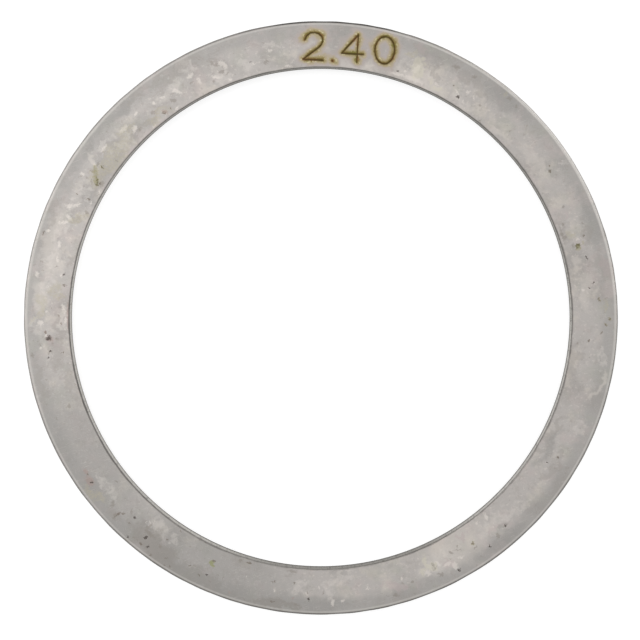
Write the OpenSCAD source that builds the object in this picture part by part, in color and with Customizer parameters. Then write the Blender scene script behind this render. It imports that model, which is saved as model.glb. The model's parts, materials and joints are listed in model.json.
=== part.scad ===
// Bearing shim: a flat steel ring that packs out the gap beside a rolling bearing.
// It is blanked from strip and its faces are ground parallel. The blanking leaves a
// shallow roll-over on the upper face along the rim, and every edge is broken.
// The origin is the centre of the bore on the lower face. The bore axis is +Z.

/* [Ring] */
// Outside diameter, which is that of the bearing's outer ring
outside_d = 90; // [40:0.5:160]
// Width of the ring from the bore to the rim, which is that of the shoulder beside it
ring_w = 7; // [4.5:0.1:12]
// Thickness between the two ground faces
thickness = 2.4; // [1.2:0.1:5]

/* [Upper rim edge] */
// Width of the shallow roll-over that the blanking leaves on the upper face
roll_w = 3; // [0.6:0.1:3.4]
// Depth to which the roll-over has fallen when it reaches the rim
roll_drop = 0.07; // [0.02:0.01:0.15]
// Radius of the rounded edge between the roll-over and the rim
rim_round_r = 0.45; // [0.1:0.05:0.5]

/* [Upper bore edge] */
// Radius of the rounded edge between the upper face and the bore
bore_round_r = 0.2; // [0.1:0.05:0.4]

/* [Lower edges] */
// Width of the flat break on the lower rim edge, where the burr was taken off
rim_break = 0.2; // [0.1:0.05:0.4]
// Width of the flat break on the lower bore edge
bore_break = 0.15; // [0.1:0.05:0.4]

/* [Quality] */
// Number of steps that a full circle is drawn in
circle_steps = 360; // [120:24:720]

/* [Hidden] */
$fn = circle_steps;

outer_r = outside_d / 2;
bore_r = outer_r - ring_w;

// How far a cutting shape runs past the surface that it cuts
overrun = 0.5;

// The roll-over is an arc that starts level with the upper face and falls to the rim
roll_start_r = outer_r - roll_w;
roll_arc_r = (pow(roll_w, 2) + pow(roll_drop, 2)) / (2 * roll_drop);
roll_centre = [roll_start_r, thickness - roll_arc_r];

// The rim's rounding lies against both the roll-over arc and the rim, so its centre
// is one radius inside each of them, and it meets the arc where their radii line up
rim_round_run = roll_w - rim_round_r;
rim_round_rise = sqrt(pow(roll_arc_r - rim_round_r, 2) - pow(rim_round_run, 2));
rim_round_centre = roll_centre + [rim_round_run, rim_round_rise];
rim_round_sweep = atan2(rim_round_rise, rim_round_run);

// The bore's rounding lies against the upper face and the bore
bore_round_centre = [bore_r + bore_round_r, thickness - bore_round_r];
bore_round_sweep = 90;

// What lies above the roll-over arc
module roll_over_cut() {
    difference() {
        translate([roll_start_r, thickness - 2 * roll_drop])
            square([roll_w + overrun, 2 * roll_drop + overrun]);
        translate(roll_centre)
            circle(r = roll_arc_r);
    }
}

// What lies outside an upper edge that is rounded to radius r about centre. The
// rounding starts level with centre and climbs through sweep degrees. It faces away
// from the bore axis, or towards it when inward is true
module rounding_cut(centre, r, sweep, inward = false) {
    reach = r + overrun;
    translate(centre)
        mirror([inward ? 1 : 0, 0])
            difference() {
                polygon([[0, 0], [reach, 0], [reach, reach], reach * [cos(sweep), sin(sweep)]]);
                circle(r = r);
            }
}

// What lies outside a flat break of width w across the lower corner at radius x
module break_cut(x, w, inward = false) {
    translate([x, 0])
        mirror([inward ? 1 : 0, 0])
            polygon([[-w, 0], [-w, -overrun], [overrun, -overrun], [overrun, w + overrun]]);
}

// Half section of the ring, with the bore axis at x = 0
module ring_section() {
    difference() {
        translate([bore_r, 0])
            square([ring_w, thickness]);
        roll_over_cut();
        rounding_cut(rim_round_centre, rim_round_r, rim_round_sweep);
        rounding_cut(bore_round_centre, bore_round_r, bore_round_sweep, inward = true);
        break_cut(outer_r, rim_break);
        break_cut(bore_r, bore_break, inward = true);
    }
}

module shim_ring() {
    color("lightgray")
        rotate_extrude()
            ring_section();
}

shim_ring();
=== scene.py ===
import json
import math
import bpy
import numpy as np
from mathutils import Matrix, Vector


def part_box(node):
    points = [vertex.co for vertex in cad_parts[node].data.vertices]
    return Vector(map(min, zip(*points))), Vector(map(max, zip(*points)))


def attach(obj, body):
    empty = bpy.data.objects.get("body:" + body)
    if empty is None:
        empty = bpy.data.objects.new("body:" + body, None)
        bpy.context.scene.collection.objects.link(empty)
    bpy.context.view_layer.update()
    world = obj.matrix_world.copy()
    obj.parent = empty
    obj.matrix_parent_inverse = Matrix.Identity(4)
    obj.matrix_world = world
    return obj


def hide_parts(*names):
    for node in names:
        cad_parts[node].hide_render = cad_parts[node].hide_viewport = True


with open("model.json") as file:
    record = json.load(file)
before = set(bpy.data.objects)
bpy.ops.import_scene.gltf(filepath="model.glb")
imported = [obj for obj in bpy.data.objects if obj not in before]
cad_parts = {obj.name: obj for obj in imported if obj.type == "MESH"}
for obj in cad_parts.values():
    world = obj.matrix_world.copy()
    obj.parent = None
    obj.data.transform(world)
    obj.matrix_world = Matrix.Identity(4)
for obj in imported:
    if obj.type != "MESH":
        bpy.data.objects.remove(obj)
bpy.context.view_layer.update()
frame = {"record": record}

# The camera hangs over the ring and looks almost straight down. The picture is cut from a
# larger one in which the ring stood below the middle, so the lens is shifted a little.
MM = 0.001
eye = Vector((1.5, 11.6, 240.0)) * MM
looked_at = Vector((-0.9, 7.2, 1.9)) * MM
shift_across = 0.00874
shift_up = -0.07598
ring_diameter_in_picture = 594.39
picture_width = 640

mounts = {mount["name"]: mount for mount in frame["record"]["mounts"]}
outer_r = mounts["rim"]["dims"]["r_mm"]
rim_height = 1.9

# The lens makes the rim, at its own height, as wide as it is in the photo, in pixels
picture_distance = (eye.z / MM - rim_height) * ring_diameter_in_picture / (2 * outer_r)

camera_data = bpy.data.cameras.new("camera")
camera_data.sensor_width = 36.0
camera_data.lens = camera_data.sensor_width * picture_distance / picture_width
camera_data.shift_x = shift_across
camera_data.shift_y = shift_up
camera = bpy.data.objects.new("camera", camera_data)
bpy.context.scene.collection.objects.link(camera)
look = (looked_at - eye).normalized()
right = look.cross(Vector((0, 1, 0))).normalized()
turned = Matrix((right, right.cross(look), -look)).transposed().to_4x4()
camera.matrix_world = Matrix.Translation(eye) @ turned
bpy.context.scene.camera = camera

# The shim ring: one ring, blanked from steel strip and ground to thickness. Its section
# is a closed path of flats and arcs in mm, carried once round the axis of the bore. The
# sheared wall of the bore leans in a little towards its foot.
bore_r = mounts["bore"]["dims"]["r_mm"]
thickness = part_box("shim_ring")[1].z / MM
roll_w = 3.0
roll_drop = 0.07
rim_round_r = 0.45
bore_round_r = 0.2
rim_break = 0.2
bore_break = 0.15
bore_lean = 0.03


def straight(start, end, steps, inset=0.0):
    """Points evenly spaced on the line from start to end, which stop short of both by inset."""
    start, end = np.array(start, float), np.array(end, float)
    along = (end - start) / np.linalg.norm(end - start)
    share = np.linspace(0, 1, steps)[:, None]
    return start + along * inset + share * (end - start - 2 * along * inset)


def arc(centre, radius, start, end, steps):
    """Points on the circle about centre, at angles evenly spaced from start to end, in degrees."""
    angle = np.radians(np.linspace(start, end, steps))
    return np.array(centre) + radius * np.stack([np.cos(angle), np.sin(angle)], axis=1)


# The mark's grooves need close steps, so the path has them where the mark lies
mark_inner_r = 38.75
mark_outer_r = 43.75
roll_arc_r = (roll_w**2 + roll_drop**2) / (2 * roll_drop)
roll_centre = np.array([outer_r - roll_w, thickness - roll_arc_r])
rim_round_run = roll_w - rim_round_r
rim_round_rise = math.sqrt((roll_arc_r - rim_round_r) ** 2 - rim_round_run**2)
rim_round_centre = roll_centre + [rim_round_run, rim_round_rise]
rim_round_top = math.degrees(math.atan2(rim_round_rise, rim_round_run))
roll_mark_end = math.degrees(math.acos((mark_outer_r - roll_centre[0]) / roll_arc_r))
bore_round_centre = [bore_r + bore_round_r, thickness - bore_round_r]

# At a sharp corner the path stops short by a hair on both sides, so the flats shade flat
edge_inset = 0.02
section = np.concatenate([
    arc(bore_round_centre, bore_round_r, 180, 90, 8),
    straight([bore_round_centre[0] + edge_inset, thickness], [mark_inner_r, thickness], 3),
    straight([mark_inner_r, thickness], [roll_centre[0], thickness], 52)[1:],
    arc(roll_centre, roll_arc_r, 90, roll_mark_end, 28)[1:],
    arc(roll_centre, roll_arc_r, roll_mark_end, rim_round_top, 6)[1:],
    arc(rim_round_centre, rim_round_r, rim_round_top, 0, 14)[1:],
    straight([outer_r, rim_round_centre[1]], [outer_r, rim_break], 4, edge_inset),
    straight([outer_r, rim_break], [outer_r - rim_break, 0], 2, edge_inset),
    straight([outer_r - rim_break, 0], [bore_r + bore_break, 0], 5, edge_inset),
    straight([bore_r + bore_break, 0], [bore_r - bore_lean, bore_break], 2, edge_inset),
    straight([bore_r - bore_lean, bore_break], [bore_r, bore_round_centre[1]], 4, edge_inset),
])

# The number etched on the upper face is the thickness. Each figure is a few strokes in a
# box one unit high, and the figures stand on a straight line, as with a hand-held tool.
mark_height = 4.1
mark_start = np.array([-2.6, 39.2])
mark_turn = math.radians(-3.4)
turns = np.linspace(0, 2 * math.pi, 33)
figure_strokes = {
    "2": [np.array([[0.03, 0.72], [0.08, 0.86], [0.2, 0.97], [0.36, 1.0], [0.52, 0.97], [0.65, 0.86],
                    [0.69, 0.72], [0.65, 0.58], [0.55, 0.46], [0.0, 0.0], [0.74, 0.0]])],
    ".": [np.array([[0.0, 0.0], [0.02, 0.0]])],
    "4": [np.array([[0.58, 0.0], [0.58, 1.0], [0.0, 0.3], [0.8, 0.3]])],
    "0": [np.stack([0.36 + 0.36 * np.cos(turns), 0.5 + 0.5 * np.sin(turns)], axis=1)],
}
figure_places = [("2", 0.0), (".", 1.07), ("4", 1.4), ("0", 2.62)]
mark_strokes = np.concatenate([
    np.stack([path[:-1], path[1:]], axis=1) * mark_height + [place * mark_height, 0]
    for name, place in figure_places
    for path in figure_strokes[name]
])


def distance_to_mark(x, y):
    """The distance in mm from each point to the nearest stroke: the point is moved into the frame of
    the mark, dropped onto each stroke's line between its ends, and the shortest drop is kept."""
    x, y = x - mark_start[0], y - mark_start[1]
    point = np.stack([x * math.cos(mark_turn) + y * math.sin(mark_turn),
                      y * math.cos(mark_turn) - x * math.sin(mark_turn)], axis=-1)
    nearest = np.full(x.shape, np.inf)
    for start, end in mark_strokes:
        stroke = end - start
        share = np.clip((point - start) @ stroke / (stroke @ stroke), 0, 1)
        gap = np.linalg.norm(point - start - share[..., None] * stroke, axis=-1)
        nearest = np.minimum(nearest, gap)
    return nearest


# Round the ring the steps are close over the mark and wide elsewhere. The angle is
# counted from the +X axis, and the upper face sees it run the other way to a clock.
mark_middle = math.radians(82.7)
mark_half = math.radians(12.6)
fine_steps = 340
wide_steps = 360
turn = mark_middle + np.concatenate([
    np.linspace(-mark_half, mark_half, fine_steps, endpoint=False),
    np.linspace(mark_half, 2 * math.pi - mark_half, wide_steps, endpoint=False),
])
radius, height = section.T
x = np.cos(turn)[:, None] * radius
y = np.sin(turn)[:, None] * radius
z = np.repeat(height[None, :], len(turn), axis=0)

# Each groove is a shallow trench with a round bottom, as the etching tool leaves it
groove_half = 0.15
groove_depth = 0.04
far_from_mark = 10.0
on_upper_face = height > thickness - roll_drop
near_mark = np.where(on_upper_face, distance_to_mark(x, y), far_from_mark)
z = z - groove_depth * np.clip(1 - (near_mark / groove_half) ** 2, 0, 1)

# The tool leans, so the heat spreads from each groove a little more towards the rim
heat_lean = 0.12
near_heat = np.where(on_upper_face, distance_to_mark(x, y - heat_lean), far_from_mark)


def wave_round(angle, seed, fewest, most, count):
    """A wave that closes on itself round the ring: a sum of cosines, each with a whole number of
    periods, and a random phase and strength. It is scaled so that it mostly stays within one."""
    draw = np.random.default_rng(seed)
    periods = draw.integers(fewest, most, count)
    phases = draw.uniform(0, 2 * math.pi, count)
    strengths = draw.uniform(0.4, 1.0, count)
    waves = strengths[:, None] * np.cos(periods[:, None] * angle[None, :] + phases[:, None])
    return waves.sum(axis=0) / np.sqrt(2 * (strengths**2).sum())


# Tumbling and handling leave both upper edges a little uneven, by up to 0.04 mm. The wear
# is a usual depth times a wave between none and the most, and fades over a width.
rim_wear_w = 0.6
bore_wear_w = 0.25
rim_wear_usual = 0.016
bore_wear_usual = 0.010
most_wear = 2.5
rim_share = np.clip((radius - (outer_r - rim_wear_w)) / rim_wear_w, 0, 1) * (height > thickness / 2)
bore_share = np.clip((bore_r + bore_wear_w - radius) / bore_wear_w, 0, 1)
bore_share = bore_share * (height > thickness - 2 * bore_round_r)
rim_wave = wave_round(turn, seed=3, fewest=9, most=80, count=24)
bore_wave = wave_round(turn, seed=4, fewest=9, most=80, count=24)
rim_wear = rim_wear_usual * np.clip(1 + 2 * rim_wave, 0, most_wear)
bore_wear = bore_wear_usual * np.clip(1 + 2 * bore_wave, 0, most_wear)
wear = rim_wear[:, None] * rim_share - bore_wear[:, None] * bore_share
x = x - np.cos(turn)[:, None] * wear
y = y - np.sin(turn)[:, None] * wear


def closed_grid(name, points):
    """A mesh on a grid that closes on itself in both directions: each four neighbours make a face. It
    points out of the steel, because the section's path and the rows' turn run the way that needs."""
    rows, columns = points.shape[:2]
    number = np.arange(rows * columns).reshape(rows, columns)
    next_row, next_column = np.roll(number, -1, axis=0), np.roll(number, -1, axis=1)
    corners = np.stack([number, next_column, np.roll(next_row, -1, axis=1), next_row], axis=-1)
    mesh = bpy.data.meshes.new(name)
    mesh.vertices.add(rows * columns)
    mesh.vertices.foreach_set("co", points.reshape(-1).astype(np.float32))
    mesh.loops.add(corners.size)
    mesh.loops.foreach_set("vertex_index", corners.reshape(-1).astype(np.int32))
    mesh.polygons.add(rows * columns)
    mesh.polygons.foreach_set("loop_start", np.arange(0, corners.size, 4, dtype=np.int32))
    mesh.polygons.foreach_set("use_smooth", np.ones(rows * columns, bool))
    mesh.update(calc_edges=True)
    return mesh


ring_mesh = closed_grid("shim_ring_finished", np.stack([x, y, z], axis=-1) * MM)
# The finish reads both distances from the mesh, for the dark grooves and the heat's tint
for name, distance in (("mark_gap", near_mark), ("heat_gap", near_heat)):
    attribute = ring_mesh.attributes.new(name, "FLOAT", "POINT")
    attribute.data.foreach_set("value", distance.reshape(-1).astype(np.float32))
ring = bpy.data.objects.new("shim_ring_finished", ring_mesh)
bpy.context.scene.collection.objects.link(ring)
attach(ring, "root")
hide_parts("shim_ring")


# The steel's finish: ground, then rubbed, stained and pitted in use, with painted shade and
# painted highlights on its edges and walls. The bearing rubs the inner two thirds of the upper
# face bright, and a darker band stays along the rim, partly a duller finish and partly painted
# shade of the rolled-over edge.
class Amount:
    """The output of a node in a material, which varies over the surface. Arithmetic on it adds
    Math nodes, and node() adds any other node to the same material."""

    def __init__(self, tree, socket=None):
        self.tree = tree
        self.socket = socket

    def node(self, kind, settings, sockets, output=0):
        """Adds a node of a type, makes its settings, then fills its sockets, and gives one output."""
        made = self.tree.nodes.new("ShaderNode" + kind)
        for name, value in settings.items():
            if name == "stops":
                self.fill_ramp(made.color_ramp, value)
            else:
                setattr(made, name, value)
        for name, value in sockets.items():
            if isinstance(value, Amount):
                self.tree.links.new(value.socket, made.inputs[name])
            else:
                made.inputs[name].default_value = value
        return Amount(self.tree, made.outputs[output] if made.outputs else None)

    def fill_ramp(self, ramp, stops):
        """Gives a colour ramp its stops, each a place and a colour. A new ramp has two."""
        for extra in stops[2:]:
            ramp.elements.new(extra[0])
        for element, (place, colour) in zip(ramp.elements, stops):
            element.position = place
            element.color = colour

    def math(self, operation, *values):
        """A Math node on numbers. The operators below are made of it."""
        return self.node("Math", {"operation": operation}, dict(enumerate(values)))

    def vector(self, operation, *values):
        """A Vector Math node on vectors, which gives a vector."""
        return self.node("VectorMath", {"operation": operation}, dict(enumerate(values)))

    def dot(self, row):
        """The dot product with three fixed numbers, which gives a number."""
        return self.node("VectorMath", {"operation": "DOT_PRODUCT"}, {0: self, 1: row}, "Value")

    def __add__(self, other):
        return self.math("ADD", self, other)

    def __sub__(self, other):
        return self.math("SUBTRACT", self, other)

    def __rsub__(self, other):
        return self.math("SUBTRACT", other, self)

    def __mul__(self, other):
        return self.math("MULTIPLY", self, other)

    __radd__ = __add__
    __rmul__ = __mul__

    def step(self, low, high):
        """0 below low and 1 above high, with a smooth rise between. It falls where low is above high."""
        rising = low < high
        ends = (low, high) if rising else (high, low)
        sockets = {"Value": self, "From Min": ends[0], "From Max": ends[1],
                   "To Min": 0.0 if rising else 1.0, "To Max": 1.0 if rising else 0.0}
        return self.node("MapRange", {"interpolation_type": "SMOOTHSTEP"}, sockets)


def linear(red, green, blue):
    """A colour as a screen shows it, in steps of 255, turned into the linear light that shaders use."""
    screen = np.array([red, green, blue]) / 255
    light = np.where(screen <= 0.04045, screen / 12.92, ((screen + 0.055) / 1.055) ** 2.4)
    return (*light.tolist(), 1.0)


steel = bpy.data.materials.new("ring_steel")
steel.use_nodes = True
steel.node_tree.nodes.clear()
start = Amount(steel.node_tree)
in_metres = start.node("TexCoord", {}, {}, "Object")
place = in_metres.node("VectorMath", {"operation": "SCALE"}, {0: in_metres, "Scale": 1 / MM})
flat = place.vector("MULTIPLY", place, (1.0, 1.0, 0.0))
from_axis = flat.node("VectorMath", {"operation": "LENGTH"}, {0: flat}, "Value")
level = place.node("SeparateXYZ", {}, {0: place}, "Z")
gap = start.node("Attribute", {"attribute_name": "mark_gap"}, {}, "Fac")
heat_gap = start.node("Attribute", {"attribute_name": "heat_gap"}, {}, "Fac")


def noise(scale, detail=3.0, roughness=0.55, at=place, seed=0.0, output="Fac"):
    """Smooth random hills from 0 to 1, with scale hills to a millimetre."""
    moved = at.vector("ADD", at, (seed * 37.1, seed * 17.3, seed * 5.9))
    sockets = {"Vector": moved, "Scale": scale, "Detail": detail, "Roughness": roughness}
    return at.node("TexNoise", {"normalize": True}, sockets, output)


def ragged(reach, scale, seed):
    """The place on the face as (x, y, 1), with x and y moved by noise, up to about reach, so that an
    outline drawn on it is ragged."""
    shift = noise(scale, 4.0, 0.65, seed=seed, output="Color")
    centred = shift.vector("MULTIPLY_ADD", shift, (2 * reach, 2 * reach, 0.0), (-reach, -reach, 1.0))
    return centred.vector("ADD", centred, flat)


def inside(spots, at):
    """The square of how far out in the nearest spot a point lies: 0 in its middle and 1 on its outline.
    A spot is an ellipse: x, y, half its length, half its width in mm, and its turn in degrees. A dot
    product with (x, y, 1) measures along it, and one measures across it."""
    nearest = None
    for x_mm, y_mm, half_length, half_width, degrees in spots:
        turned_x, turned_y = math.cos(math.radians(degrees)), math.sin(math.radians(degrees))
        length_start = -(x_mm * turned_x + y_mm * turned_y)
        width_start = x_mm * turned_y - y_mm * turned_x
        along = at.dot((turned_x / half_length, turned_y / half_length, length_start / half_length))
        across = at.dot((-turned_y / half_width, turned_x / half_width, width_start / half_width))
        squared = along.math("MULTIPLY_ADD", along, along, across * across)
        nearest = squared if nearest is None else squared.math("MINIMUM", squared, nearest)
    return nearest


def scored(length, width, degrees, seed, sparse):
    """Fine short scratches that lie one way: noise stretched along them, of which the peaks are kept."""
    along = place.node("Mapping", {"vector_type": "TEXTURE"}, {
        "Vector": place, "Rotation": (0.0, 0.0, math.radians(degrees)), "Scale": (length, width, 1.0)})
    return noise(1.0, 2.0, 0.5, along, seed).step(sparse, sparse + 0.08)


def tinted(under, over, share):
    """The colour under, covered by the colour over where share is 1."""
    return share.node("Mix", {"data_type": "RGBA"}, {0: share, 6: under, 7: over}, 2)


def towards(degrees):
    """How far out a point lies in one direction from the axis, in mm, from the direction's angle."""
    return place.dot((math.cos(math.radians(degrees)), math.sin(math.radians(degrees)), 0.0))


# Where each finish, painted shade and painted highlight lies: the rubbed face, the sheared
# walls, and the rounded upper edges with the crest just inside the rim. All are measured out
# from the axis or up, in mm.
rubbed_out_to = 41.5
band_from = 43.4
drift = noise(0.3, 3.0, 0.6, seed=1) - 0.5
rubbed = (from_axis + drift * 1.6).step(band_from, rubbed_out_to)
upper = level.step(thickness - 0.24, thickness - 0.1)
bore_wall = from_axis.step(bore_r + 0.12, bore_r + 0.03)
wall = bore_wall.math("MAXIMUM", bore_wall, from_axis.step(outer_r - 0.1, outer_r - 0.03))
bore_edge_reach = from_axis + drift * 0.3 + towards(105).step(12.0, 36.0) * 0.07
bore_edge = bore_edge_reach.step(bore_r + 0.27, bore_r + 0.1) * level.step(1.9, 2.2)
rim_edge = from_axis.step(outer_r - 0.36, outer_r - 0.18) * level.step(1.5, 1.9)
rim_crest = from_axis.step(outer_r - 0.7, outer_r - 0.52) * from_axis.step(outer_r - 0.3, outer_r - 0.42)

# The ground steel, with a patina in clouds of cream, pink and green, and flecks and specks
face_colour = linear(171, 166.3, 162.7)
# The band's darker colour is partly painted shade of the rolled-over rim edge
band_colour_and_shade = linear(156.8, 153.6, 150.5)
colour = tinted(band_colour_and_shade, face_colour, rubbed)
tone = noise(0.12, 3.0, 0.5, seed=11)
colour = tinted(colour, linear(145, 141, 137), tone.step(0.5, 0.36) * 0.5)
cream = noise(0.3, 5.0, 0.65, seed=2).step(0.5, 0.68) * rubbed
colour = tinted(colour, linear(190, 183, 174), cream * 0.6)
pink = noise(0.32, 4.0, 0.6, seed=3).step(0.5, 0.68)
colour = tinted(colour, linear(178, 167, 164), pink * 0.4)
green = noise(0.27, 4.0, 0.6, seed=4).step(0.5, 0.7)
colour = tinted(colour, linear(158, 158, 149), green * 0.4)
dull = noise(0.8, 5.0, 0.7, seed=5).step(0.5, 0.7)
colour = tinted(colour, linear(150, 144, 139), dull * 0.4)
flecks = noise(2.2, 3.0, 0.6, seed=6).step(0.57, 0.7) * rubbed
colour = tinted(colour, linear(199, 192, 185), flecks * 0.42)
specks = noise(2.3, 3.0, 0.65, seed=7).step(0.6, 0.74)
colour = tinted(colour, linear(128, 121, 114), specks * 0.38)

# The patina is deeper in some wide patches, and worn thin in others
wide_outline = ragged(reach=3.0, scale=0.25, seed=24)
dull_patches = [
    (-35.2, -22.0, 12.0, 7.5, 122), (-18.0, -37.2, 15.0, 7.5, 154), (-30.6, 25.6, 7.0, 1.8, 50),
    (-32.0, 29.8, 8.0, 1.0, 47), (28.0, -33.6, 4.0, 1.2, 40), (27.8, 33.1, 4.5, 1.5, 140),
    (-29.5, -32.6, 11.0, 1.8, 138), (-34.2, 19.6, 3.0, 1.2, 60), (-25.6, -33.6, 7.0, 2.6, 141),
    (-8.2, -43.1, 7.0, 1.6, 169), (-38.6, 22.2, 2.6, 0.9, 61), (41.0, 14.6, 4.0, 1.2, 110),
    (-27.0, -34.0, 9.0, 1.5, 140), (34.9, -19.5, 3.2, 0.9, 60), (-2.8, -43.3, 6.8, 1.9, 177),
]
patina = inside(dull_patches, wide_outline).step(1.7, 0.1)
colour = tinted(colour, linear(141, 139, 136), patina * 0.52)
thin_patches = [
    (20.0, -34.6, 5.0, 3.0, 30), (4.7, 38.8, 4.0, 0.9, 173), (14.6, 36.4, 5.6, 1.6, 158),
    (-42.7, 3.2, 2.6, 1.0, 94), (-40.2, 8.2, 2.6, 1.1, 80), (38.7, 8.9, 1.1, 0.7, 100),
    (27.2, 27.6, 2.8, 0.5, 132), (32.6, 23.3, 3.2, 0.9, 126), (40.5, 4.2, 2.4, 1.0, 98),
    (-34.6, 24.2, 1.8, 0.5, 111), (41.9, -10.4, 2.0, 0.36, 68), (-40.6, 12.4, 4.4, 1.3, 70),
]
thinned = inside(thin_patches, wide_outline).step(1.7, 0.1)
colour = tinted(colour, linear(197, 190, 183), thinned * upper * 0.4)

# Hand scratches, in the few directions in which the shim was slid over a bench
fine_scores = (scored(1.6, 0.07, 20, 12, 0.63) + scored(1.1, 0.06, 102, 13, 0.64)
               + scored(1.4, 0.06, 151, 14, 0.65))
colour = tinted(colour, linear(199, 193, 187), fine_scores * 0.3)

# Patches rubbed bright, and pinkish, greyed and darkened ones, each where the real shim
# has it
soft_outline = ragged(reach=3.2, scale=0.45, seed=15)
bright_patches = [
    (15.6, 36.0, 4.6, 1.5, 147), (17.9, -36.9, 3.3, 1.9, 31), (-29.9, 26.2, 2.3, 1.0, 50),
    (-35.6, 19.2, 1.0, 0.7, 100), (-32.3, 26.6, 1.3, 0.6, 58), (-15.2, 37.2, 1.8, 1.3, 148),
    (26.6, -30.4, 4.6, 1.1, 37), (-32.4, -25.3, 2.2, 0.9, 126), (-38.9, 0.0, 1.8, 0.6, 92),
    (-40.9, 8.5, 1.2, 0.7, 72), (20.3, 33.5, 1.5, 1.0, 31), (13.8, 37.8, 2.8, 1.2, 162),
    (-11.4, 38.0, 1.6, 1.0, 106), (-20.3, 37.8, 1.4, 0.9, 140), (30.5, -28.6, 0.9, 0.5, 60),
    (-37.8, 17.0, 1.4, 0.7, 50), (-22.8, 34.8, 2.6, 1.1, 40), (14.6, 35.9, 3.6, 0.8, 158),
    (2.0, -40.5, 2.4, 0.9, 40), (-7.5, 41.0, 0.9, 0.7, 30), (-22.2, -33.0, 1.2, 0.6, 120),
    (-40.1, 10.6, 3.4, 0.8, 76), (-43.0, -1.2, 2.2, 0.8, 95), (-3.2, -41.0, 1.2, 0.6, 12),
    (21.8, 32.7, 2.4, 0.9, 140), (39.7, -16.1, 1.4, 0.7, 70), (-37.9, 14.2, 1.4, 0.6, 80),
    (3.6, -39.2, 1.1, 0.5, 130), (36.3, 23.9, 0.9, 0.4, 52), (13.9, 38.0, 1.4, 0.9, 66),
    (42.7, -6.2, 1.2, 0.6, 75), (-24.4, -31.5, 2.0, 1.0, 105), (-41.2, 4.9, 2.2, 1.1, 70),
]
blotches = noise(1.1, 4.0, 0.7, seed=19).step(0.4, 0.56) * 0.6 + 0.4
bright = inside(bright_patches, soft_outline).step(1.4, 0.3) * blotches
colour = tinted(colour, linear(203, 197, 191), bright * upper * 0.32)
pink_patches = [
    (15.2, 41.0, 0.8, 0.6, 0), (21.5, -33.2, 0.6, 0.5, 90), (11.1, -40.5, 1.1, 0.8, 10),
    (26.6, -31.2, 1.4, 0.5, 30), (19.2, -37.2, 1.3, 0.8, 30), (43.2, 7.8, 1.6, 0.6, 100),
    (37.4, 15.6, 1.0, 0.5, 110), (-40.2, -3.5, 0.9, 0.5, 130),
]
pinkish = inside(pink_patches, soft_outline).step(1.5, 0.3) * upper
colour = tinted(colour, linear(174, 161, 160), pinkish * 0.45)
grey_patches = [
    (42.5, 8.4, 2.8, 1.0, 106), (-37.8, -9.7, 2.2, 0.9, 106), (-25.6, -34.2, 4.4, 1.7, 137),
    (15.0, 40.9, 1.2, 0.8, 150), (-16.4, 38.8, 0.8, 0.6, 160), (-33.2, 20.3, 1.8, 0.7, 72),
    (-32.8, 22.8, 1.0, 0.6, 110), (22.4, 36.2, 3.4, 0.9, 147), (-11.5, -36.9, 1.7, 0.6, 164),
    (17.3, 36.9, 1.0, 0.7, 100), (27.8, -31.3, 0.9, 0.6, 46), (-31.2, -29.6, 1.2, 0.7, 98),
    (38.5, -6.3, 2.8, 0.8, 82), (-22.8, 37.2, 5.8, 0.9, 31), (-4.4, -38.4, 1.3, 0.4, 2),
    (-40.6, 15.6, 2.4, 0.8, 72), (-39.6, -1.7, 2.4, 0.7, 100), (-42.4, -9.4, 3.8, 0.8, 101),
    (-26.4, 29.1, 3.6, 0.6, 49), (-20.7, 38.7, 1.0, 0.4, 12), (40.1, 12.4, 1.2, 0.5, 120),
    (35.4, -16.6, 3.0, 0.6, 62), (36.9, 12.7, 1.7, 0.7, 112), (-27.2, 34.4, 2.6, 0.5, 37),
    (24.2, 33.9, 1.2, 0.5, 110), (-6.4, -43.5, 4.0, 0.7, 171), (33.15, -19.9, 0.9, 0.5, 63),
    (34.4, -23.2, 2.6, 0.7, 48), (-37.5, 9.8, 2.6, 0.5, 74), (-36.3, 15.0, 1.0, 0.45, 0),
    (36.3, -20.9, 1.1, 0.46, 162), (-40.3, -5.2, 2.6, 1.3, 96),
]
greyed = inside(grey_patches, soft_outline).step(1.5, 0.3) * upper
colour = tinted(colour, linear(146, 141, 136), greyed * 0.38)
dark_patches = [
    (-25.6, -34.2, 5.0, 2.0, 136), (-20.0, -38.6, 7.5, 1.4, 152), (-6.0, -43.8, 7.0, 0.5, 171),
]
darkened = inside(dark_patches, soft_outline).step(1.6, 0.2) * upper
colour = tinted(colour, linear(124, 120, 113), darkened * 0.27)

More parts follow.
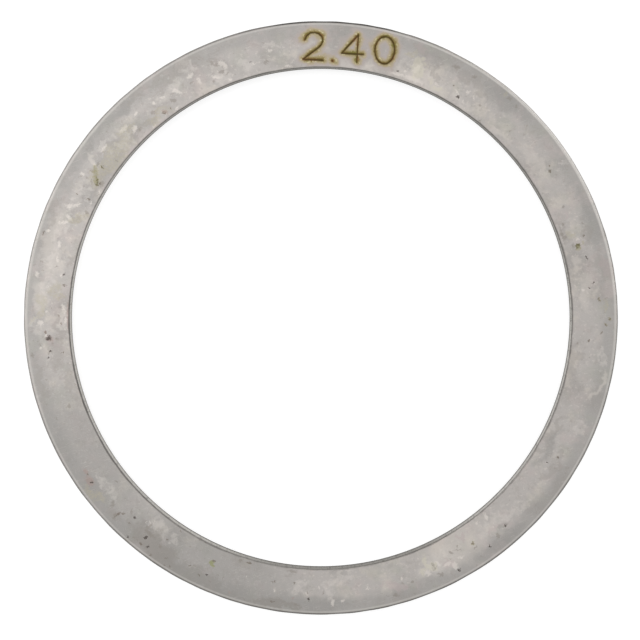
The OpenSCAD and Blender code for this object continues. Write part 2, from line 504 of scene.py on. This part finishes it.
# Small pale scuffs, with sharper outlines
small_outline = ragged(reach=0.55, scale=3.2, seed=16)
pale_marks = [
    (20.6, 34.3, 0.56, 0.17, 125), (-26.4, -30.9, 0.22, 0.09, 90), (-41.6, -2.6, 0.22, 0.12, 15),
    (25.7, -28.6, 0.2, 0.12, 23), (-15.7, 36.5, 0.8, 0.26, 174), (19.2, -37.2, 0.75, 0.32, 30),
    (3.4, -42.8, 0.24, 0.15, 45), (-25.1, 29.1, 0.38, 0.13, 42), (16.3, -38.5, 0.65, 0.4, 153),
    (-34.7, 17.5, 0.26, 0.14, 47), (12.3, -39.4, 0.32, 0.15, 78), (-21.7, 31.8, 0.45, 0.2, 50),
    (-25.8, -30.9, 0.26, 0.1, 115), (-21.7, 34.4, 1.0, 0.28, 159), (17.8, -37.1, 0.6, 0.25, 133),
    (-18.3, 36.0, 0.6, 0.28, 114), (38.8, 12.1, 0.3, 0.2, 20), (7.1, -40.9, 0.35, 0.23, 64),
    (22.3, 34.2, 0.45, 0.24, 37), (-36.0, 21.9, 0.45, 0.22, 163), (-7.0, -41.2, 0.24, 0.15, 100),
    (-13.6, 36.1, 0.38, 0.2, 173), (-25.2, -30.8, 0.26, 0.08, 78), (-2.2, -41.7, 0.4, 0.15, 122),
    (12.8, 37.3, 0.24, 0.2, 21), (21.5, 32.8, 0.4, 0.1, 86), (-25.1, 32.6, 0.3, 0.2, 2),
    (15.3, 35.4, 0.22, 0.16, 102), (17.5, 35.4, 0.4, 0.26, 148), (-38.6, -0.2, 0.6, 0.2, 85),
    (13.7, 36.0, 0.23, 0.16, 131), (26.0, -31.5, 0.27, 0.13, 0), (-33.4, 19.1, 0.28, 0.15, 67),
    (-4.8, 38.2, 0.6, 0.12, 5), (-10.1, 38.6, 0.22, 0.13, 89), (23.1, 33.4, 0.4, 0.09, 95),
    (21.3, -36.1, 0.5, 0.22, 15), (-39.2, 6.6, 0.3, 0.15, 80), (-41.2, 4.9, 0.2, 0.14, 0),
    (-41.4, 1.1, 0.18, 0.14, 0), (23.7, -30.9, 0.28, 0.13, 80), (39.6, 4.4, 0.28, 0.2, 160),
    (-11.3, -39.1, 0.16, 0.12, 0), (-39.8, 9.0, 0.55, 0.24, 88), (-0.2, -40.7, 0.3, 0.12, 80),
    (-15.1, 38.6, 0.4, 0.22, 143), (-34.15, 23.4, 0.26, 0.18, 70), (-42.4, -4.45, 0.24, 0.14, 0),
    (13.9, 36.2, 1.6, 0.4, 160), (11.8, 36.9, 1.6, 0.22, 166), (-38.0, 17.1, 0.6, 0.3, 27),
    (-38.9, 14.6, 0.9, 0.26, 9), (-28.1, 28.9, 0.5, 0.3, 66), (-41.6, -2.45, 0.14, 0.12, 0),
    (-38.6, -1.6, 0.3, 0.1, 0), (-23.9, 33.5, 0.5, 0.16, 7), (-27.9, 31.0, 0.4, 0.2, 62),
    (14.5, 37.7, 0.8, 0.45, 50), (-7.6, 40.5, 0.4, 0.26, 0), (-29.7, 28.7, 0.9, 0.32, 42),
    (-28.0, 28.7, 0.7, 0.3, 72), (-32.7, 25.8, 0.8, 0.28, 52), (25.1, -29.9, 0.7, 0.24, 115),
    (-14.5, 38.3, 0.7, 0.35, 129), (-42.4, -0.6, 0.6, 0.45, 24), (-19.6, 36.7, 0.6, 0.34, 42),
    (20.4, -37.4, 0.7, 0.4, 117), (-38.9, 1.7, 0.7, 0.32, 115), (1.9, -43.1, 0.6, 0.26, 75),
    (-38.0, 15.3, 0.7, 0.3, 136), (-42.9, 6.8, 0.5, 0.26, 100), (-36.8, 17.3, 0.7, 0.26, 20),
    (-39.5, 11.3, 0.6, 0.28, 98), (-41.2, 13.4, 0.34, 0.2, 0),
]
pale = inside(pale_marks, small_outline).step(1.4, 0.2) * upper
colour = tinted(colour, linear(214, 207, 200), pale * 0.48)

# Oil: thin yellowish patches and pale straw ones, and spots that dried olive and mossy green
oil_patches = [
    (-33.5, 22.0, 2.4, 1.1, 75), (-29.5, 28.0, 1.8, 0.9, 42), (-24.6, 30.6, 1.9, 0.9, 35),
    (-40.0, 4.4, 1.6, 1.0, 60), (-42.2, 2.0, 1.6, 0.7, 88), (42.8, 2.0, 1.1, 0.5, 95),
    (-31.5, 24.0, 5.0, 1.5, 52), (-34.6, -26.6, 2.0, 0.7, 130), (-43.1, 0.1, 0.8, 0.5, 90),
    (37.9, 12.6, 0.7, 0.5, 120), (13.7, 40.2, 1.2, 0.7, 170), (27.9, 34.4, 0.6, 0.4, 130),
    (-36.2, 15.2, 1.2, 0.7, 20),
]
speckle = noise(2.6, 3.0, 0.7, seed=23).step(0.42, 0.6)
oiled = inside(oil_patches, soft_outline).step(1.5, 0.3) * upper * (speckle * 0.6 + 0.4)
colour = tinted(colour, linear(168, 161, 140), oiled * 0.45)
straw_patches = [
    (17.1, 35.1, 1.1, 0.6, 150), (13.9, 36.5, 0.7, 0.5, 100), (16.6, -36.9, 1.5, 0.6, 95),
    (14.8, 38.0, 1.5, 1.0, 50),
]
straw = inside(straw_patches, soft_outline).step(1.5, 0.3) * upper
colour = tinted(colour, linear(198, 193, 174), straw * 0.4)
oil_spots = [
    (38.86, 10.8, 0.5, 0.44, 100), (39.6, 11.6, 0.34, 0.18, 90), (42.1, 3.0, 0.42, 0.2, 123),
    (43.7, 0.0, 0.34, 0.28, 156), (43.1, -0.85, 0.22, 0.18, 0), (23.1, -34.0, 0.28, 0.26, 0),
    (-34.0, 22.3, 1.1, 0.45, 95), (-33.95, 21.1, 0.85, 0.42, 96),
]
oil = inside(oil_spots, small_outline).step(1.6, 0.2) * upper * (speckle * 0.55 + 0.45)
colour = tinted(colour, linear(134, 129, 82), oil * 0.6)
moss_spots = [(-16.5, -37.0, 0.36, 0.34, 60), (-16.4, -37.4, 0.34, 0.26, 110)]
mossy = inside(moss_spots, small_outline).step(1.7, 0.3) * upper
colour = tinted(colour, linear(136, 139, 90), mossy * 0.68)
film_spots = [(38.98, 11.1, 0.38, 0.32, 95)]
filmed = inside(film_spots, small_outline).step(1.7, 0.3) * upper
colour = tinted(colour, linear(124, 121, 94), filmed * 0.75)
olive_marks = [
    (-33.72, 20.85, 0.72, 0.11, 95), (-32.96, 22.98, 0.3, 0.14, 140), (-33.84, 20.3, 0.26, 0.16, 95),
    (38.92, 11.26, 0.42, 0.2, 5), (38.66, 10.86, 0.46, 0.22, 112),
]
olived = inside(olive_marks, small_outline).step(1.5, 0.2) * upper
colour = tinted(colour, linear(96, 91, 62), olived * 0.8)

# Rust: small reddish stains
rust_patches = [
    (-35.0, -24.6, 0.9, 0.6, 120), (-35.6, -23.2, 0.5, 0.3, 123), (-38.2, 0.3, 2.2, 0.2, 90),
    (-23.4, 31.3, 0.5, 0.3, 150), (-41.7, -2.0, 0.35, 0.14, 140), (-4.2, -42.4, 0.18, 0.14, 0),
    (-13.8, -41.5, 0.16, 0.14, 0), (-41.0, -3.0, 0.6, 0.42, 0),
]
rust = inside(rust_patches, small_outline).step(1.6, 0.2) * upper
colour = tinted(colour, linear(146, 118, 108), rust * 0.4)

# Stains: many faint grey-brown ones, and fewer and smaller dark brown ones
faint_marks = [
    (-14.9, 37.3, 0.42, 0.28, 36), (-22.2, 33.0, 0.5, 0.28, 171), (17.1, -37.4, 0.5, 0.2, 110),
    (-31.5, -28.1, 0.6, 0.28, 75), (28.5, 33.3, 0.45, 0.28, 0), (-27.2, 28.7, 0.45, 0.18, 71),
    (11.5, -41.9, 0.5, 0.26, 168), (-3.6, -43.4, 0.55, 0.18, 171), (-8.1, 38.8, 0.5, 0.28, 30),
    (-16.1, 35.8, 0.24, 0.2, 70), (-28.7, -29.2, 0.4, 0.16, 85), (-30.8, 23.9, 0.42, 0.14, 147),
    (24.0, 32.2, 0.28, 0.18, 0), (-24.3, -34.6, 0.3, 0.2, 134), (12.5, -40.1, 0.3, 0.18, 170),
    (-33.6, 23.4, 0.42, 0.13, 65), (-19.5, 35.6, 0.32, 0.18, 58), (-40.1, -15.1, 0.22, 0.14, 137),
    (-14.0, 37.1, 0.25, 0.14, 44), (38.9, -3.6, 0.2, 0.13, 90), (36.6, 17.0, 0.3, 0.2, 37),
    (-25.9, -32.6, 1.15, 0.24, 140), (-26.3, -31.6, 0.5, 0.18, 27), (-29.4, -33.6, 0.7, 0.14, 155),
    (-39.9, 7.9, 0.3, 0.1, 175), (-42.2, 8.7, 0.24, 0.18, 0), (-42.1, 7.3, 0.26, 0.12, 0),
    (-39.9, -3.0, 0.2, 0.13, 0), (-21.5, -36.3, 0.4, 0.09, 0), (-22.8, -37.6, 0.3, 0.11, 90),
    (-19.1, -37.5, 0.26, 0.08, 0), (-19.8, -34.5, 0.22, 0.09, 0), (-28.3, -33.2, 0.5, 0.07, 0),
    (-29.5, -27.3, 0.2, 0.1, 0), (13.9, -39.9, 0.3, 0.14, 20), (18.2, -38.7, 0.5, 0.26, 0),
    (20.8, -35.0, 0.8, 0.11, 0), (26.9, -32.8, 0.4, 0.3, 120), (20.5, 38.0, 0.6, 0.34, 160),
    (23.1, 36.5, 0.5, 0.2, 0), (28.6, 28.4, 0.3, 0.08, 0), (29.5, 32.0, 0.3, 0.24, 0),
    (-4.2, -38.3, 0.8, 0.18, 174), (-18.3, -33.5, 0.3, 0.2, 150), (-14.8, -39.3, 0.3, 0.1, 80),
    (-33.1, 20.4, 0.55, 0.36, 75), (-35.3, 16.1, 0.45, 0.2, 135), (-38.1, -13.2, 0.42, 0.22, 97),
    (-12.1, -36.7, 0.36, 0.24, 17), (0.4, -41.6, 0.3, 0.14, 90), (-16.8, -39.9, 0.16, 0.12, 0),
    (-25.3, 31.2, 0.36, 0.3, 0), (17.3, -37.8, 0.32, 0.26, 66), (-37.2, -10.0, 0.26, 0.18, 107),
    (-36.8, 19.0, 0.26, 0.18, 112), (-33.6, 18.9, 0.32, 0.16, 64), (-16.3, 38.6, 0.4, 0.3, 76),
    (36.9, 12.3, 0.42, 0.24, 60), (-34.6, 22.35, 0.32, 0.2, 110), (-34.6, 20.8, 0.3, 0.16, 110),
    (-35.8, 20.07, 0.2, 0.08, 90), (-35.3, 21.4, 0.34, 0.1, 150), (-36.1, 21.56, 0.3, 0.08, 0),
    (-42.75, -3.47, 0.16, 0.13, 0), (-42.5, -3.86, 0.16, 0.11, 0), (-42.4, -4.1, 0.22, 0.11, 140),
    (-40.57, -3.8, 0.22, 0.12, 150), (-41.2, -5.2, 0.16, 0.11, 0), (-43.6, -5.5, 0.42, 0.24, 110),
    (-27.5, -33.1, 0.14, 0.1, 0), (-27.8, -33.6, 0.15, 0.1, 0), (-24.3, -34.5, 0.3, 0.24, 0),
    (-17.1, -38.0, 0.22, 0.1, 90), (-15.5, -38.9, 0.18, 0.11, 90), (19.8, -35.4, 0.4, 0.2, 133),
    (23.5, -34.6, 0.4, 0.18, 50), (-15.7, 38.3, 0.45, 0.24, 171), (-26.0, -31.6, 0.9, 0.24, 46),
    (36.45, 12.7, 1.5, 0.17, 107), (-31.2, -29.9, 0.6, 0.3, 70), (38.15, 11.1, 0.3, 0.17, 115),
    (39.45, 14.45, 0.42, 0.09, 0),
]
faint = inside(faint_marks, small_outline).step(1.6, 0.1) * upper
colour = tinted(colour, linear(132, 126, 119), faint * 0.55)

brown_marks = [
    (-30.7, -29.7, 0.7, 0.14, 31), (41.9, 3.1, 0.26, 0.12, 5), (-7.35, -42.9, 0.34, 0.17, 175),
    (43.7, 0.0, 0.28, 0.2, 0), (43.1, -0.9, 0.2, 0.16, 115), (-23.6, 31.1, 0.34, 0.2, 155),
    (42.15, 2.8, 0.16, 0.1, 110), (-27.3, -34.2, 0.24, 0.17, 120), (34.6, 22.3, 0.26, 0.2, 87),
    (-38.7, 5.05, 0.26, 0.16, 173), (42.4, -2.0, 0.24, 0.15, 86), (23.1, -34.0, 0.18, 0.17, 82),
    (34.5, 23.2, 0.16, 0.13, 35), (-23.2, -33.5, 0.18, 0.14, 126), (40.5, -3.2, 0.18, 0.14, 22),
    (-36.8, 18.9, 0.18, 0.14, 131), (-22.6, 31.8, 0.17, 0.16, 0), (-18.4, -38.9, 0.2, 0.13, 113),
    (20.1, 35.2, 0.16, 0.1, 0), (-35.4, -23.6, 0.18, 0.13, 123), (-30.9, -24.7, 0.18, 0.12, 0),
    (-7.25, -39.9, 0.13, 0.1, 0), (-6.95, -39.9, 0.13, 0.1, 0), (-3.9, -40.1, 0.14, 0.11, 0),
    (-3.9, -41.35, 0.12, 0.1, 0), (20.8, -34.5, 0.12, 0.1, 0), (24.1, 29.9, 0.2, 0.11, 30),
    (-29.0, -31.0, 0.2, 0.09, 0), (-41.65, -2.05, 0.22, 0.1, 140), (-39.2, -0.75, 0.2, 0.09, 100),
    (-39.6, 0.43, 0.13, 0.1, 0), (-29.9, -29.6, 0.26, 0.18, 0), (19.7, -36.4, 0.13, 0.1, 0),
    (-1.9, -41.5, 0.15, 0.13, 0), (-19.8, -37.5, 0.2, 0.15, 0), (36.6, 14.35, 0.18, 0.1, 0),
    (-39.0, -5.05, 0.2, 0.11, 10), (-25.8, -35.9, 0.3, 0.09, 0), (-23.5, -36.3, 0.28, 0.1, 0),
    (-22.8, -37.6, 0.2, 0.1, 90), (-23.7, -37.4, 0.13, 0.09, 0), (-21.2, -32.2, 0.2, 0.13, 140),
    (-17.4, -34.0, 0.2, 0.1, 150), (-16.1, -36.7, 0.3, 0.18, 160), (-10.8, -37.0, 0.5, 0.14, 159),
    (-35.1, 18.1, 0.32, 0.12, 0), (35.85, -20.85, 0.2, 0.16, 0), (-41.9, 13.05, 0.34, 0.1, 67),
    (-33.35, 20.55, 0.28, 0.14, 70), (39.73, 12.6, 0.2, 0.15, 90),
]
browned = inside(brown_marks, small_outline).step(1.5, 0.2) * upper
colour = tinted(colour, linear(104, 94, 82), browned * 0.7)

# Pits: small, dark and a little sunk
pit_spots = [
    (-41.1, -2.95, 0.46, 0.34, 5), (-26.5, -33.2, 0.32, 0.26, 45), (20.7, 33.5, 0.32, 0.22, 120),
    (28.0, -31.3, 0.26, 0.18, 100), (-40.9, -4.9, 0.22, 0.17, 54), (-28.2, -30.2, 0.28, 0.18, 155),
    (-1.8, -42.55, 0.22, 0.2, 116), (-34.7, -24.8, 0.22, 0.14, 6), (-38.8, 6.7, 0.22, 0.16, 144),
    (-26.2, -34.6, 0.22, 0.18, 36), (25.7, -34.5, 0.22, 0.14, 89), (40.6, 4.75, 0.17, 0.15, 0),
    (-41.2, -5.9, 0.15, 0.14, 0), (11.7, 37.4, 0.14, 0.12, 0), (34.3, -21.7, 0.14, 0.13, 0),
    (-10.6, 38.8, 0.15, 0.13, 0), (-29.2, -33.1, 0.24, 0.17, 10), (-17.3, -38.8, 0.17, 0.15, 0),
    (41.2, 5.5, 0.14, 0.12, 0), (40.2, 9.25, 0.5, 0.11, 119), (21.1, -38.1, 0.25, 0.15, 66),
]
pitted = inside(pit_spots, small_outline).step(1.5, 0.2) * upper
colour = tinted(colour, linear(68, 60, 54), pitted * 0.88)

# The heat of the etching tool: an uneven tint from olive through tan to a pinkish grey, with
# green and red-brown stretches and pale flecks, partly painted highlights, round the dark line
# of the groove
wander = noise(1.3, 3.0, 0.6, seed=8) - 0.5
cooling = 2.0 - noise(0.5, 2.0, 0.5, seed=20) * 2.0
shimmer = noise(3.4, 2.0, 0.5, seed=23) - 0.5
heat = heat_gap * cooling + wander * 0.3 + shimmer * 0.45
temper_stops = [
    (0.0, linear(108, 94, 52)), (0.12, linear(120, 106, 66)), (0.26, linear(146, 133, 97)),
    (0.42, linear(159, 147, 120)), (0.62, linear(166, 155, 138)), (0.85, linear(165, 156, 152)),
]
temper = heat.node("ValToRGB", {"stops": temper_stops}, {"Fac": heat})
colour = tinted(colour, temper, heat.step(1.4, 0.6) * upper)
greened = noise(0.55, 2.0, 0.5, seed=24).step(0.54, 0.64) * heat.step(0.5, 0.1)
colour = tinted(colour, linear(112, 112, 58), greened * 0.5)
reddened = noise(0.6, 2.0, 0.5, seed=21).step(0.52, 0.66) * gap.step(0.36, 0.1)
colour = tinted(colour, linear(134, 92, 66), reddened * 0.6)
# Pale flecks in the tint, partly painted highlights standing for glints off the groove's walls
pale_flecks_and_glints = heat.step(0.2, 0.32) * heat.step(0.6, 0.44) * noise(2.4, 2.0, 0.5, seed=22).step(0.54, 0.66)
colour = tinted(colour, linear(212, 204, 170), pale_flecks_and_glints * 0.46)
burnt = (gap + wander * 0.12).step(0.22, 0.03)
colour = tinted(colour, linear(64, 50, 30), burnt * 0.85)

# The walls are sheared, bright in the upper part and torn rough in the lower, with streaks
# that run down them
streak_place = place.vector("MULTIPLY", place, (1.0, 1.0, 0.12))
streaks = noise(3.2, 4.0, 0.7, streak_place, 17)
torn = (level + (streaks - 0.5) * 0.5).step(1.0, 0.7)
wall_colour = tinted(linear(175, 172, 167), linear(142, 139, 134), torn)
wall_colour = tinted(wall_colour, linear(92, 88, 84), streaks.step(0.52, 0.66) * 0.5)
colour = tinted(colour, wall_colour, wall)

# Painted shade darkens the rounded edges, unevenly and more in some directions. The rim's edge
# is painted lighter on some sides, its crest has a painted highlight, and painted shade darkens it beside
# the mark.
edge_light_and_shade_noise = noise(0.7, 4.0, 0.65, seed=18)
# Painted shade on the bore's rounded edge, stronger towards the left and right and weaker towards the
# bottom
bore_edge_shade = edge_light_and_shade_noise * 0.7 + 0.34 + towards(196).step(26.0, 38.0) * 0.24
bore_edge_shade = bore_edge_shade + towards(355).step(31.0, 38.0) * 0.15 - towards(270).step(35.0, 38.0) * 0.3
colour = tinted(colour, linear(92, 89, 86), bore_edge * bore_edge_shade)
# A painted highlight on the rim's crest, brightest towards the upper right
crest_highlight = 0.44 - edge_light_and_shade_noise * 0.3 + towards(38).step(30.0, 44.0) * 0.22
colour = tinted(colour, linear(205, 202, 197), rim_crest * crest_highlight)
# Painted shade dims the crest towards the upper left
colour = tinted(colour, linear(150, 147, 142), rim_crest * towards(150).step(22.0, 42.0) * 0.2)
# Painted shade on the rim's rounded edge, painted lighter on a few sides, most towards the upper right
rim_partly_lit = towards(122).step(41.5, 44.8) + towards(166).step(39.0, 44.5) + towards(208).step(39.0, 44.6)
rim_lit_sides = towards(46).step(38.5, 44.8) * 1.08 + rim_partly_lit * 0.45
rim_edge_shade = edge_light_and_shade_noise * 0.4 + 0.59 + towards(284).step(34.0, 44.0) * 0.14
colour = tinted(colour, linear(90, 87, 83), rim_edge * rim_edge_shade * (1 - rim_lit_sides * 0.68))
# A stretch of painted shade darkens the rim's edge beside the mark
rim_shade_stretch = [(2.0, 45.0, 14.0, 1.6, 178)]
rim_top_shade = inside(rim_shade_stretch, small_outline).step(1.3, 0.5) * rim_edge
colour = tinted(colour, linear(60, 58, 55), rim_top_shade * 0.75)

# A satin gloss. The walls, pits and oil stains are rougher, and they and the rust are less
# metallic. Fine grain, gentle waves, pits, scratches and the walls' streaks show in the bump.
grain = noise(6.0, 3.0, 0.6, seed=9)
roughness = 0.38 + (1 - rubbed) * 0.06 + dull * 0.06 - flecks * 0.05 + grain * 0.05 + pitted * 0.25
roughness = roughness + wall * (torn * 0.1 + 0.34) + oil * 0.1 - rim_edge * 0.08
metallic = 1.0 - pitted * 0.7 - rust * 0.5 - oil * 0.3 - wall * 0.4 * (torn * 0.6 + 0.4)
bump_height = (grain * 0.0015 + noise(0.8, 3.0, seed=10) * 0.012 - pitted * 0.05
               - fine_scores * 0.002 + wall * streaks * 0.03)
bump = bump_height.node("Bump", {}, {"Strength": 1.0, "Distance": MM, "Height": bump_height}, "Normal")
surface = start.node("BsdfPrincipled", {}, {
    "Base Color": colour, "Metallic": metallic, "Roughness": roughness, "Normal": bump}, "BSDF")

# Painted shade darkens the foot of the bore's wall, where it meets the floor, least on the
# left, where the lamps light it, and higher up near the mark and opposite it
painted_foot_shade = (level + (streaks - 0.5) * 0.4).step(0.95, 0.2) * (0.95 - towards(190).step(20.0, 36.0) * 0.6)
painted_side_shade = towards(75).step(2.0, 30.0) * 0.42 + towards(276).step(31.0, 38.0) * 0.5
wall_shade_share = painted_foot_shade.math("MAXIMUM", painted_foot_shade, painted_side_shade) * bore_wall
# A dark, dull sheet of painted shade, mixed over the steel where the wall is shaded
painted_wall_shade = start.node("BsdfPrincipled", {}, {
    "Base Color": linear(66, 64, 60), "Roughness": 0.9, "Specular IOR Level": 0.1}, "BSDF")
steel_with_wall_shade = start.node("MixShader", {}, {0: wall_shade_share, 1: surface, 2: painted_wall_shade}, "Shader")
start.node("OutputMaterial", {}, {"Surface": steel_with_wall_shade})
ring_mesh.materials.append(steel)

# The floor is a plain white sheet. The camera and reflections see it white, with the
# ring's soft shadow, and from below it isn't there.
floor_half = 1.2
floor_drop = 0.02 * MM
floor_mesh = bpy.data.meshes.new("floor")
corner = np.array([[-1, -1, 0], [1, -1, 0], [1, 1, 0], [-1, 1, 0]]) * floor_half
floor_mesh.from_pydata((corner - [0, 0, floor_drop]).tolist(), [], [(0, 1, 2, 3)])
floor = bpy.data.objects.new("floor", floor_mesh)
bpy.context.scene.collection.objects.link(floor)


def seen(tree_start):
    """1 for a ray from the camera, a reflection or a transmission, and 0 for light on a matt surface."""
    kinds = ("Camera", "Glossy", "Transmission")
    direct, mirrored, through = [tree_start.node("LightPath", {}, {}, f"Is {kind} Ray") for kind in kinds]
    either = direct.math("MAXIMUM", direct, mirrored)
    return either.math("MAXIMUM", either, through)


# Where it is seen, its own glow makes most of its white, and its lit part holds the shadow
white_sheet = bpy.data.materials.new("white_sheet")
white_sheet.use_nodes = True
white_sheet.node_tree.nodes.clear()
start = Amount(white_sheet.node_tree)
matt = start.node("BsdfDiffuse", {}, {"Color": (0.8, 0.8, 0.8, 1.0)}, "BSDF")
dim = start.node("BsdfDiffuse", {}, {"Color": (0.38, 0.38, 0.38, 1.0)}, "BSDF")
glow = start.node("Emission", {}, {"Color": (0.72, 0.72, 0.72, 1.0)}, "Emission")
lit = start.node("AddShader", {}, {0: dim, 1: glow}, "Shader")
sheet = start.node("MixShader", {}, {0: seen(start), 1: matt, 2: lit}, "Shader")
clear = start.node("BsdfTransparent", {}, {}, "BSDF")
from_below = start.node("NewGeometry", {}, {}, "Backfacing")
open_below = start.node("MixShader", {}, {0: from_below, 1: sheet, 2: clear}, "Shader")
start.node("OutputMaterial", {}, {"Surface": open_below})
floor_mesh.materials.append(white_sheet)

# Soft light: a pale dome all round, and three softboxes that face the ring. The high one
# lights the face from the left, and the two low ones draw its edges.
world = bpy.data.worlds.new("dome")
bpy.context.scene.world = world
world.use_nodes = True
world.node_tree.nodes.clear()
start = Amount(world.node_tree)
strength = seen(start) * 0.25 + 0.75
dome = start.node("Background", {}, {"Color": (1.0, 1.0, 1.0, 1.0), "Strength": strength}, "Background")
start.node("OutputWorld", {}, {"Surface": dome})


def softbox(name, round_from_x, up_from_floor, away, wide, high, power):
    """A rectangular area lamp that faces the ring's middle, from a direction given in degrees."""
    lamp = bpy.data.lights.new(name, "AREA")
    lamp.shape = "RECTANGLE"
    lamp.size = wide
    lamp.size_y = high
    lamp.energy = power
    box = bpy.data.objects.new(name, lamp)
    bpy.context.scene.collection.objects.link(box)
    around, up = math.radians(round_from_x), math.radians(up_from_floor)
    outward = Vector((math.cos(around) * math.cos(up), math.sin(around) * math.cos(up), math.sin(up)))
    box.location = outward * away
    box.rotation_euler = outward.to_track_quat("Z", "Y").to_euler()


softbox("softbox_high_left", round_from_x=156, up_from_floor=60, away=0.8, wide=0.35, high=0.35, power=0.7)
softbox("softbox_low_left", round_from_x=160, up_from_floor=22, away=0.8, wide=1.0, high=0.56, power=3.2)
softbox("softbox_low_right", round_from_x=24, up_from_floor=22, away=0.8, wide=1.0, high=0.56, power=3.8)

bpy.context.scene.view_settings.view_transform = "Standard"
